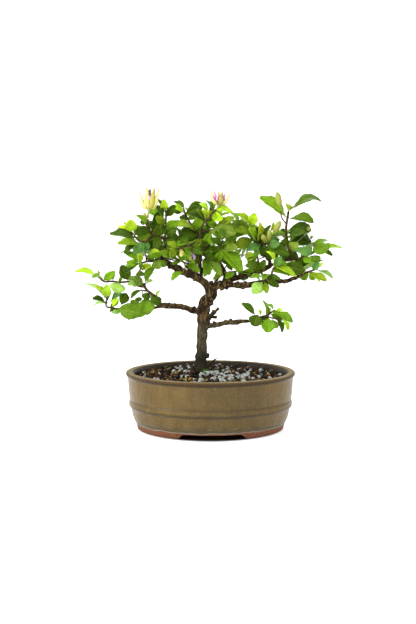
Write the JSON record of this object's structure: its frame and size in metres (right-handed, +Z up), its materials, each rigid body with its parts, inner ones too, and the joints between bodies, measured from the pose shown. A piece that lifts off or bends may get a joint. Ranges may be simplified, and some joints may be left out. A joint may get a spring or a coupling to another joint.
{
  "type": "potted flowering bonsai",
  "caption": "Small flowering shrub trained as a bonsai: forked trunk, leafy sprays and half-open star blooms, in an oval glazed pot on two long feet.",
  "frame": {"origin": "on the surface that the pot stands on, under the middle of the pot", "axes": "+X to the right of the front view along the oval pot's length, +Y to the back, +Z up"},
  "size_m": [0.3134, 0.1524, 0.2877],
  "materials": {
    "glaze": "satin",
    "screen": "matte",
    "bark": "matte",
    "soil": "matte",
    "leaf": "satin",
    "leaf_shade": "satin",
    "sepal": "matte",
    "petal": "matte"
  },
  "bodies": {
    "root": {"pot": "glaze", "drain_screen_left": "screen", "drain_screen_right": "screen", "trunk": "bark", "soil": "soil", "spray_left_reach": "leaf", "spray_left_low": "leaf", "spray_left_middle": "leaf", "spray_upper_left": "leaf", "spray_crown_left": "leaf_shade", "spray_leader_top": "leaf", "spray_centre_left": "leaf_shade", "spray_left_inner": "leaf_shade", "spray_centre_front": "leaf_shade", "spray_centre_high": "leaf_shade", "spray_fork": "leaf_shade", "spray_centre_right": "leaf", "spray_right_inner": "leaf_shade", "spray_top_right": "leaf", "spray_limb_tip": "leaf", "spray_lower_right": "leaf", "spray_far_left": "leaf_shade", "spray_far_centre": "leaf_shade", "spray_far_crown": "leaf_shade", "spray_far_right": "leaf_shade", "spray_far_right_high": "leaf_shade", "spray_far_middle": "leaf_shade", "spray_far_limb": "leaf_shade", "spray_far_left_limb": "leaf_shade", "bloom_left_sepals": "sepal", "bloom_left_petals": "petal", "bloom_crown_sepals": "sepal", "bloom_crown_petals": "petal"}
  },
  "joints": []
}
